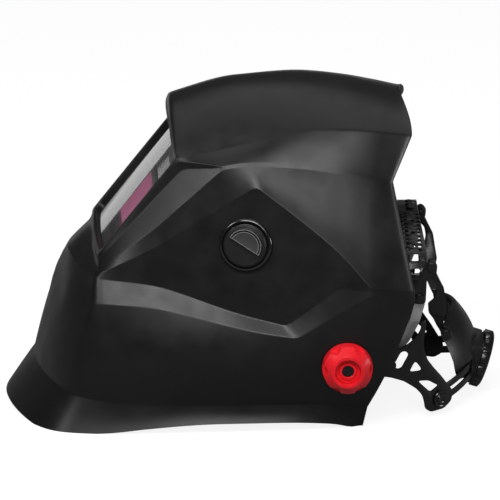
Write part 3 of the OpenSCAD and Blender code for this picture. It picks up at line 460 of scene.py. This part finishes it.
# Stations close to the rear edge: (share of the last span, lift of the bead)
REAR_STATIONS = [(0.92, 0.0), (0.945, 0.6), (0.98, 0.7), (1.0, 0.4)]
HEAD_MID = Vector((0, 0, 95))
WALL = 3
EASE = 0.6
CORNER_POINT, BROW_POINT = 2, 4


def on_curve(line, i, t):
    """The point at share t of a line's span i. A line that starts on the middle plane mirrors over it, and one
    breaks at its corners."""
    a, b = Vector(line[max(i - 1, 0)][:3]), Vector(line[i][:3])
    c, d = Vector(line[i + 1][:3]), Vector(line[min(i + 2, len(line) - 1)][:3])
    if i == 0 and line[0][1] == 0 and line[1][1] != 0:
        a = Vector((line[1][0], -line[1][1], line[1][2]))
    elif i == 0 or line[i][3:] == (1,):
        a = 2 * b - c
    if i + 2 >= len(line) or line[i + 1][3:] == (1,):
        d = 2 * c - b
    return b + 0.5 * t * (c - a + t * (2 * a - 5 * b + 4 * c - d + t * (3 * (b - c) + d - a)))


def shell_mesh():
    # Stations along the lines as (span, share)
    where = [(i, s / n) for i, n in enumerate(SPAN_STEPS) for s in range(n)]
    where = [(i, t) for i, t in where if i < REAR_SPAN or t < REAR_FREE]
    where += [(REAR_SPAN, t) for t, _ in REAR_STATIONS]
    last = len(where) - 1
    corner = where.index((CORNER_POINT, 0.0))
    brow = where.index((BROW_POINT, 0.0))
    drawn = [[on_curve(line, i, t) for i, t in where] for line in LINES]

    def outward(b, k):
        fore, aft = max(k - 1, 0), min(k + 1, last)
        along = drawn[b][aft] + drawn[b + 1][aft] - drawn[b][fore] - drawn[b + 1][fore]
        if k == 0:
            along = Vector((0, 1, 0))
        return (drawn[b + 1][k] - drawn[b][k]).cross(along).normalized()

    def shares(n, width):
        edge = min(EASE / max(width, 0.01), 0.6 / n)
        return [0.0] + [edge + (1 - 2 * edge) * s / (n - 2) for s in range(n - 1)]

    columns = []
    for k, (i, t) in enumerate(where):
        column = []
        for b, n in enumerate(BAND_STEPS):
            low, high = drawn[b][k], drawn[b + 1][k]
            swell = SWELL[b][i] + (SWELL[b][i + 1] - SWELL[b][i]) * t
            out = outward(b, k)
            for s in shares(n, (high - low).length):
                column.append(low + (high - low) * s + out * (4 * s * (1 - s) * swell))
        column.append(drawn[-1][k])
        columns.append(column)
    rows = len(columns[0]) - 1

    # Lines over the window, the brow's face and the crown: (middle point, station of the edge, share of the bow)
    brow_lengths = [(Vector(b) - Vector(a)).length for a, b in zip(BROW_FACE, BROW_FACE[1:])]

    def on_brow(share):
        run = share * sum(brow_lengths)
        for i, length in enumerate(brow_lengths):
            if run <= length:
                return on_curve(BROW_FACE, i, run / length)
            run -= length
        return Vector(BROW_FACE[-1])

    across = []
    for k in range(corner + 1, last + 1):
        i, t = where[k]
        if k < brow:
            across.append((on_curve(WIN_MID, i - CORNER_POINT, t), k, 0.0))
            continue
        if k == brow:
            across.append((Vector(WIN_MID[-1]), k, 0.0))
            across += [(on_brow(s), k, 0.0) for s in BROW_SHARES]
        if (i, t) == (REAR_SPAN, 1.0):
            mid = Vector(CROWN_MID[-1])
        else:
            mid = on_curve(CROWN_MID, i - BROW_POINT, t)
        across.append((mid, k, ((k - brow) / (last - brow)) ** 3))

    bm = bmesh.new()
    ids = {}

    def vert(key, p):
        if key not in ids:
            ids[key] = bm.verts.new(p)
        return ids[key]

    def cheek_vert(j, k):
        p = columns[abs(k)][j]
        return vert(("cheek", j, k), Vector((p.x, -p.y, p.z)) if k < 0 else p)

    def centre_vert(m, q):
        if m == 0:
            return cheek_vert(rows, q)
        mid, k, bow = across[m - 1]
        if abs(q) == corner:
            return cheek_vert(rows, k if q > 0 else -k)
        edge = drawn[-1][k]
        s = q / corner
        ss = s * s
        return vert(("centre", m, q), Vector((
            mid.x + (edge.x - mid.x) * ss + CROWN_BOW * bow * 4 * ss * (1 - ss),
            edge.y * s, mid.z + (edge.z - mid.z) * ss)))

    def face(*verts):
        kept = []
        for v in verts:
            if v not in kept:
                kept.append(v)
        if len(kept) > 2:
            bm.faces.new(kept)

    for j in range(rows):
        for k in range(-last, last):
            face(cheek_vert(j, k), cheek_vert(j, k + 1), cheek_vert(j + 1, k + 1), cheek_vert(j + 1, k))
    for m in range(len(across)):
        for q in range(-corner, corner):
            face(centre_vert(m, q), centre_vert(m, q + 1), centre_vert(m + 1, q + 1), centre_vert(m + 1, q))
    bmesh.ops.recalc_face_normals(bm, faces=bm.faces)
    bm.normal_update()
    if sum((f.calc_center_median() - HEAD_MID).dot(f.normal) for f in bm.faces) < 0:
        bmesh.ops.reverse_faces(bm, faces=bm.faces)
        bm.normal_update()

    # Bead along the rear edge
    lift = {last - n: up for n, (_, up) in enumerate(reversed(REAR_STATIONS))}
    moves = {}
    for key, v in ids.items():
        k = abs(key[2]) if key[0] == "cheek" else across[key[1] - 1][1]
        if k in lift:
            moves[v] = v.normal * lift[k]
    inner = {v: v.co - WALL * (v.co - HEAD_MID).normalized() for v in bm.verts}
    for v, move in moves.items():
        v.co += move

    # Inner skin and the edge between the skins
    skin = list(bm.faces)
    edges = [e for e in bm.edges if e.is_boundary]
    twin = {v: bm.verts.new(p) for v, p in inner.items()}
    for f in skin:
        bm.faces.new([twin[v] for v in reversed(f.verts)])
    for e in edges:
        a, b = e.verts
        bm.faces.new((b, a, twin[a], twin[b]))
    for v in bm.verts:
        v.co *= MM
    return finished(bm, "helmet_shell_moulded")


WIN_MID_AT = Vector((-88.95, 0, 167.75)) * MM
WIN_UP = Vector((60.5, 0, 76.5)).normalized()
WIN_OUT = Vector((-WIN_UP.z, 0, WIN_UP.x))
WIN_FRAME = Matrix.Translation(WIN_MID_AT) @ Matrix((WIN_UP, Vector((0, 1, 0)), WIN_OUT)).transposed().to_4x4()
DIAL_OUT = Vector((-CHEEK_BACK, -1, CHEEK_DOWN)).normalized()
DIAL_AT = Vector((-6.9, -cheek(-6.9, 145.8)[1], 145.8)) * MM
PIVOT_X, PIVOT_Z = 69.2, 54.5
PAD_BACK, PAD_FACE, PAD_R = 105.8, 118, 17
BOLT_R, BUSH_R = 5.05, 4.6
WINDOW = rounded_loop(92, 122, 7)
GROUND = rounded_loop(500, 400, 10)


def at_pivot(side):
    return facing(Vector((0, side, 0)), Vector((PIVOT_X, 0, PIVOT_Z)) * MM)


shell = smoothed(new_object("helmet_shell_moulded", shell_mesh()))
for side in (-1, 1):
    pad = [(circle(PAD_R), PAD_BACK), (circle(PAD_R), PAD_FACE - 1), (circle(PAD_R - 1), PAD_FACE)]
    cut(shell, prism("pad", pad, at_pivot(side)), "UNION")
    cut(shell, straight("bore", circle(BOLT_R), PAD_BACK - 4, PAD_FACE + 4, at_pivot(side)))
cut(shell, straight("window", WINDOW, -14, 14, WIN_FRAME))
cut(shell, straight("bush", circle(BUSH_R), -20, 20, facing(DIAL_OUT, DIAL_AT)))
cut(shell, straight("ground", GROUND, -40, 0, Matrix.Identity(4)))
soften(shell.data, 36)
dress(shell, "shell", "shell_plastic", "helmet_shell")

# CAD nodes with eased edges, and CAD nodes that stay
EASED = [
    ("cartridge_holder", "shell", "dark_plastic", 0.5),
    ("filter_case_front", "shell", "dark_plastic", 0.5),
    ("filter_case_back", "shell", "dark_plastic", 0.5),
    ("shade_knob", "shade_control", "dark_plastic", 0.25),
    ("sensitivity_dial", "sensitivity", "dark_plastic", 0.3),
    ("delay_dial", "delay", "dark_plastic", 0.3),
    ("test_button", "test", "red_plastic", 0.4),
    ("battery_tray", "battery", "dark_plastic", 0.4),
    ("left_tension_knob", "left_knob", "red_plastic", 0.6),
    ("right_tension_knob", "right_knob", "red_plastic", 0.6),
    ("left_knob_nut", "left_knob", "black_steel", 0.4),
    ("right_knob_nut", "right_knob", "black_steel", 0.4),
    ("left_side_arm", "headband", "band_plastic", 0.5),
    ("right_side_arm", "headband", "band_plastic", 0.5),
    ("forehead_band", "headband", "band_plastic", 0.5),
    ("left_crown_strap", "headband", "band_plastic", 0.4),
    ("right_crown_strap", "headband", "band_plastic", 0.4),
    ("left_strap_link", "headband", "grey_plastic", 0.4),
    ("right_strap_link", "headband", "grey_plastic", 0.4),
    ("left_rear_arm", "headband", "band_plastic", 0.5),
    ("right_rear_arm", "headband", "band_plastic", 0.5),
    ("ratchet_housing", "headband", "dark_plastic", 0.5),
    ("ratchet_cover", "headband", "dark_plastic", 0.4),
    ("left_band_rack", "headband", "band_plastic", 0.4),
    ("right_band_rack", "headband", "band_plastic", 0.4),
    ("arm_rivets", "headband", "band_plastic", 0.4),
    ("strap_pegs", "headband", "band_plastic", 0.3),
    ("ratchet_knob", "ratchet", "gloss_plastic", 0.6),
]
for name, body, slot, width in EASED:
    eased(name, body, slot, width)
KEPT = {
    "inner_cover_lens": "clear_lens", "filter_glass": "filter_pane",
    "solar_cell": "solar_film", "arc_sensors": "solar_film", "potentiometer_body": "steel",
    "potentiometer_nut": "steel", "potentiometer_shaft": "steel", "coin_cell": "steel",
    "left_pivot_bolt": "black_steel", "right_pivot_bolt": "black_steel", "friction_washers": "washer_plastic",
    "slide_blocks": "band_plastic", "ratchet_pinion": "dark_plastic", "knob_screw": "steel",
}
for name, slot in KEPT.items():
    keep(name, slot)

# Cover lens: a sheet that springs into the frame with a slight bow across its width
LENS_W, LENS_H, LENS_CORNER = 124.4, 95, 9
LENS_BOW, LENS_FACE, LENS_T = 3.0, -3.5, 1.5


def bowed_lens(columns=40):
    bm = bmesh.new()
    outline = rounded_loop(LENS_H, LENS_W, LENS_CORNER, 10)
    rings = [[bm.verts.new((x, y, z)) for x, y in outline] for z in (LENS_FACE, LENS_FACE - LENS_T)]
    bm.faces.new(rings[0])
    bm.faces.new(reversed(rings[1]))
    bridge(bm, rings)
    sliced(bm, LENS_W, columns)
    for v in bm.verts:
        v.co.z += LENS_BOW * (1 - (2 * v.co.y / LENS_W) ** 2)
        v.co *= MM
    mesh = finished(bm, "cover_lens_bowed", WIN_FRAME)
    soften(mesh, 30)
    return new_object("cover_lens_bowed", mesh)


lens = dress(bowed_lens(), "shell", "clear_lens", "cover_lens")
lens.data.materials.append(PAINT["clear_back"])
for poly in lens.data.polygons:
    poly.material_index = 0 if poly.normal.dot(WIN_OUT) > 0.5 else 1

# Rubber seal that grips the lens's edge and closes the gap to the shell: (distance out, height, share of the bow)
SEAL = [(0, -8.4, 0), (0, -0.7, 1), (0.4, -0.2, 1), (3.0, -0.2, 1), (3.4, -0.6, 1), (3.4, -8.4, 0)]
SEAL_W, SEAL_H, SEAL_CORNER, SEAL_BOW = 120.5, 90.5, 6, 1.4


def seal_ring(columns=12):
    bm = bmesh.new()
    rings = []
    for out, z, share in SEAL:
        width = SEAL_W + 2 * out
        loop = rounded_loop(SEAL_H + 2 * out, width, SEAL_CORNER + out, 8)
        rings.append([bm.verts.new((x, y, z + share * SEAL_BOW * (1 - (2 * y / width) ** 2))) for x, y in loop])
    bridge(bm, rings, closed=True)
    sliced(bm, SEAL_W, columns)
    for v in bm.verts:
        v.co *= MM
    mesh = finished(bm, "window_seal", WIN_FRAME)
    soften(mesh)
    return new_object("window_seal", mesh)


dress(seal_ring(), "shell", "dark_plastic")

# Red collar in each knob's recess, round the bolt's end
COLLAR = [(5.3, 127.7), (9.7, 127.7), (9.7, 128.2), (7.0, 128.3), (6.4, 129.5), (4.9, 129.7), (4.6, 129.4),
          (4.6, 128.3), (5.3, 128.3)]
for side, body in ((-1, "left_knob"), (1, "right_knob")):
    dress(turned(body + "_collar", COLLAR, at_pivot(side)), body, "red_plastic")

# Button rings on the lobe pins, where the rack bands join the side arms: profiles of (radius, height over the arm)
LOBE_TURN, LOBE_Z, ARM_MID, ARM_R = math.radians(55.3), 14, (51.5, 62), 161
BUTTON = {
    "rim": [(4.7, 1.4), (6.9, 1.4), (6.9, 1.8), (6.5, 2.2), (5.3, 2.2), (4.7, 1.8)],
    "boss": [(1.5, 2.3), (4.4, 2.3), (4.4, 2.7), (3.9, 3.1), (2.2, 3.1), (1.5, 2.7)],
}
for side, label in ((-1, "left"), (1, "right")):
    lobe = facing(Vector((math.cos(LOBE_TURN), side * math.sin(LOBE_TURN), 0)),
                  Vector((ARM_MID[0], -side * ARM_MID[1], LOBE_Z)) * MM)
    for part, profile in BUTTON.items():
        raised = [(r, ARM_R + h) for r, h in profile]
        dress(turned("%s_lobe_%s" % (label, part), raised, lobe), "headband", "gloss_plastic")

# Dial: a round-edged ring with index notches
AT_DIAL = (Matrix.Translation(DIAL_AT) @ Matrix.Rotation(math.atan2(DIAL_OUT.y, DIAL_OUT.x), 4, "Z")
           @ Matrix.Rotation(math.acos(DIAL_OUT.z), 4, "Y"))
RING_OUT, RING_IN, RING_FOOT, RING_TOP = 20.5, 17.9, 0.1, 4.5
RING_ROUND, ROUND_STEPS = 2.4, 8
NOTCHES, NOTCH_FOOT = 16, 2.4
NOTCH = rounded_loop(1.2, 0.8, 0.2)
profile = [(RING_IN, RING_FOOT), (RING_OUT, RING_FOOT)]
for step in range(ROUND_STEPS + 1):
    a = math.pi / 2 * step / ROUND_STEPS
    profile.append((RING_OUT - RING_ROUND * (1 - math.cos(a)), RING_TOP - RING_ROUND * (1 - math.sin(a))))
profile.append((RING_IN, RING_TOP - 0.2))
ring = turned("dial_ring_turned", profile, AT_DIAL, 96)
for n in range(NOTCHES):
    spot = Matrix.Rotation(2 * math.pi * n / NOTCHES, 4, "Z") @ Matrix.Translation((RING_OUT * MM, 0, 0))
    cut(ring, straight("notch", NOTCH, NOTCH_FOOT, RING_TOP + 1.5, AT_DIAL @ spot))
soften(ring.data)
dress(ring, "shell", "gloss_plastic", "dial_ring")

# Raised outline of the shade knob's half-disc grip, painted light grey as a painted highlight, and its satin face
GRIP_R, GRIP_TURN = 13.0, math.radians(59)
# The raised lines of the grip carry the light grey painted highlight
WALL_PAINT, HIGHLIGHT_LINE_PAINT, FACE_PAINT = range(3)
# (distance in from the edge, height, paint of the faces that follow)
GRIP = [(0.1, 10.6, WALL_PAINT), (0, 11.3, HIGHLIGHT_LINE_PAINT), (0.15, 11.45, HIGHLIGHT_LINE_PAINT), (0.5, 11.45, HIGHLIGHT_LINE_PAINT),
        (0.6, 11.25, WALL_PAINT), (1.7, 11.25, WALL_PAINT), (1.8, 11.4, HIGHLIGHT_LINE_PAINT), (2.15, 11.4, HIGHLIGHT_LINE_PAINT),
        (2.3, 11.3, FACE_PAINT)]


def half_disc(inset, z, steps=40):
    """The grip's outline, moved in. Its straight side carries one raised line, and its arc two."""
    r = GRIP_R - inset
    low = math.asin(min(inset, 0.45 + 0.1 * inset) / r)
    turn = [low + (math.pi - 2 * low) * s / steps for s in range(steps + 1)]
    return [(r * math.cos(a), r * math.sin(a), z) for a in turn]


def knob_grip():
    bm = bmesh.new()
    rings = [[bm.verts.new(Vector(p) * MM) for p in half_disc(inset, z)] for inset, z, _ in GRIP]
    bridge(bm, rings, paints=[paint for _, _, paint in GRIP])
    bm.faces.new(rings[-1]).material_index = FACE_PAINT
    bm.faces.new(reversed(rings[0]))
    mesh = finished(bm, "shade_knob_grip", AT_DIAL @ Matrix.Rotation(GRIP_TURN, 4, "Z"))
    soften(mesh)
    return new_object("shade_knob_grip", mesh)


grip = knob_grip()
paints = [poly.material_index for poly in grip.data.polygons]
dress(grip, "shade_control", "gloss_plastic")
# The grip's raised lines take the painted highlight, and its face the satin material
for paint in ("rubbed_edge", "satin_face"):
    grip.data.materials.append(PAINT[paint])
for poly, paint in zip(grip.data.polygons, paints):
    poly.material_index = paint

# Pads: remeshed, blown up as cloth, and held flat where they lie on their bands
CLOTH_PRESSURE, CLOTH_FRAMES = 4.0, 20
# Two sewn channels, in mm: distance in from the strip's edges, half width, depth, and the depth where the face starts
CHANNEL_IN, CHANNEL_HALF, CHANNEL_DEPTH, FACE_DEPTH = 4.5, 2.2, 1.6, 1.5
SEAT_GAP = 0.1


def stuffed(name, body, slot, voxel, cap, half, measure, place):
    """A padded strip inside a wall. measure gives a point's depth under the wall and its height along the strip,
    and place puts a point back at a depth. half is half the strip's height."""
    piece = merged_copy(name, name + "_padded")
    mod = piece.modifiers.new("remesh", "REMESH")
    mod.mode = "VOXEL"
    mod.voxel_size = voxel * MM
    baked(piece)
    start = [v.co.copy() for v in piece.data.vertices]
    mod = piece.modifiers.new("cloth", "CLOTH")
    mod.settings.use_pressure = True
    mod.settings.uniform_pressure_force = CLOTH_PRESSURE
    mod.settings.effector_weights.gravity = 0.0
    mod.point_cache.frame_start, mod.point_cache.frame_end = 1, CLOTH_FRAMES
    for step in range(1, CLOTH_FRAMES + 1):
        scene.frame_set(step)
    baked(piece)
    scene.frame_set(1)
    for v, rest in zip(piece.data.vertices, start):
        move = v.co - rest
        if move.length > cap * MM:
            v.co = rest + move * (cap * MM / move.length)
        depth, height = measure(v.co)
        # The channels draw the face in towards the wall
        near = min(abs(abs(height) - (half - CHANNEL_IN) * MM) / (CHANNEL_HALF * MM), 1.0)
        if depth > FACE_DEPTH * MM:
            depth -= (1 - near) ** 2 * CHANNEL_DEPTH * MM
        v.co = place(v.co, max(depth, SEAT_GAP * MM))
    smoothed(piece)
    soften(piece.data, 60)
    dress(piece, body, slot, name)


BROW_TILT = math.radians(32)
BROW_AXIS = Vector((math.sin(BROW_TILT), 0, math.cos(BROW_TILT)))
BROW_AT = Vector((68.5, 0, 97)) * MM
BROW_R = 91.8 * MM
NAPE_MID = Vector((112.7, 0, 25.6)) * MM
NAPE_R = 61.6 * MM
NAPE_LEVEL = math.radians(27)


def in_band(p):
    arm = p - BROW_AT
    height = arm.dot(BROW_AXIS)
    return BROW_R - (arm - BROW_AXIS * height).length, height


def put_in_band(p, depth):
    arm = p - BROW_AT
    height = arm.dot(BROW_AXIS)
    return BROW_AT + BROW_AXIS * height + (arm - BROW_AXIS * height).normalized() * (BROW_R - depth)


def in_cup(p):
    arm = p - NAPE_MID
    return NAPE_R - arm.length, (math.asin(arm.z / arm.length) - NAPE_LEVEL) * NAPE_R


def put_in_cup(p, depth):
    return NAPE_MID + (p - NAPE_MID).normalized() * (NAPE_R - depth)


stuffed("sweatband", "headband", "sweat_cloth", 3.0, 5.0, 17.0, in_band, put_in_band)
stuffed("nape_pad", "headband", "pad_foam", 2.0, 4.0, 11.8, in_cup, put_in_cup)

# Stage: a pale floor that keeps the shadow. It reads white to the camera and through glass, and mirrored rays see
# it white behind the object.
FLOOR_SIZE, FLOOR_CORNER, FLOOR_T = 40000, 3000, 30
FLOOR_GLOW, FLOOR_MIRRORED, FAR_FLOOR = 0.88, 0.03, (1.2, 1.8)
floor = straight("studio_floor", rounded_loop(FLOOR_SIZE, FLOOR_SIZE, FLOOR_CORNER), -FLOOR_T, 0, Matrix.Identity(4))
paint = Paint("studio_floor", Roughness=0.9, Specular_IOR_Level=0.0, Emission_Color=(1, 1, 1, 1))
paint.colour(paint.ramp(paint.noise(3.0), [(0.3, (0.22, 0.22, 0.22)), (0.7, (0.23, 0.23, 0.23))]))
path = paint.tree.nodes.new("ShaderNodeLightPath")
apart = paint.tree.nodes.new("ShaderNodeSeparateXYZ")
paint.link(paint.place, apart.inputs[0])
behind = level(paint.tree, apart.outputs["Y"], FLOOR_MIRRORED, 1.0, *FAR_FLOOR)
mirrored = joined(paint.tree, "MULTIPLY", path.outputs["Is Glossy Ray"], behind)
direct = joined(paint.tree, "MAXIMUM", path.outputs["Is Camera Ray"], path.outputs["Is Transmission Ray"])
seen = joined(paint.tree, "MAXIMUM", direct, mirrored)
paint.link(level(paint.tree, seen, 0.0, FLOOR_GLOW), paint.shader.inputs["Emission Strength"])
floor.data.materials.append(paint.mat)

WORLD_LIGHT = 0.08
world = bpy.data.worlds.new("studio")
scene.world = world
world.use_nodes = True
wt = world.node_tree
sky = wt.nodes["Background"]
sky.inputs["Color"].default_value = (1, 1, 1, 1)
path = wt.nodes.new("ShaderNodeLightPath")
wt.links.new(level(wt, path.outputs["Is Camera Ray"], WORLD_LIGHT, 1.0), sky.inputs["Strength"])


AIM = Vector((0, 0, 0.12))


def softbox(name, at, size, radiance):
    data = bpy.data.lights.new(name, "AREA")
    data.shape = "RECTANGLE"
    data.size, data.size_y = size
    data.energy = radiance * math.pi * size[0] * size[1]
    made = bpy.data.objects.new(name, data)
    scene.collection.objects.link(made)
    made.location = at
    made.rotation_mode = "QUATERNION"
    made.rotation_quaternion = (AIM - Vector(at)).to_track_quat("-Z", "Y")
    made.visible_camera = False


softbox("key_softbox", (-0.19, -1.35, 1.44), (1.05, 0.75), 9.0)
softbox("front_softbox", (-1.24, -0.90, 1.24), (0.45, 0.45), 11.0)
softbox("rear_softbox", (0.24, -1.72, 0.89), (0.45, 0.35), 6.0)
softbox("rim_softbox", (1.83, -0.49, 0.32), (0.5, 0.4), 9.0)
softbox("top_softbox", (0, 0.5, 2.0), (2.0, 1.6), 1.0)
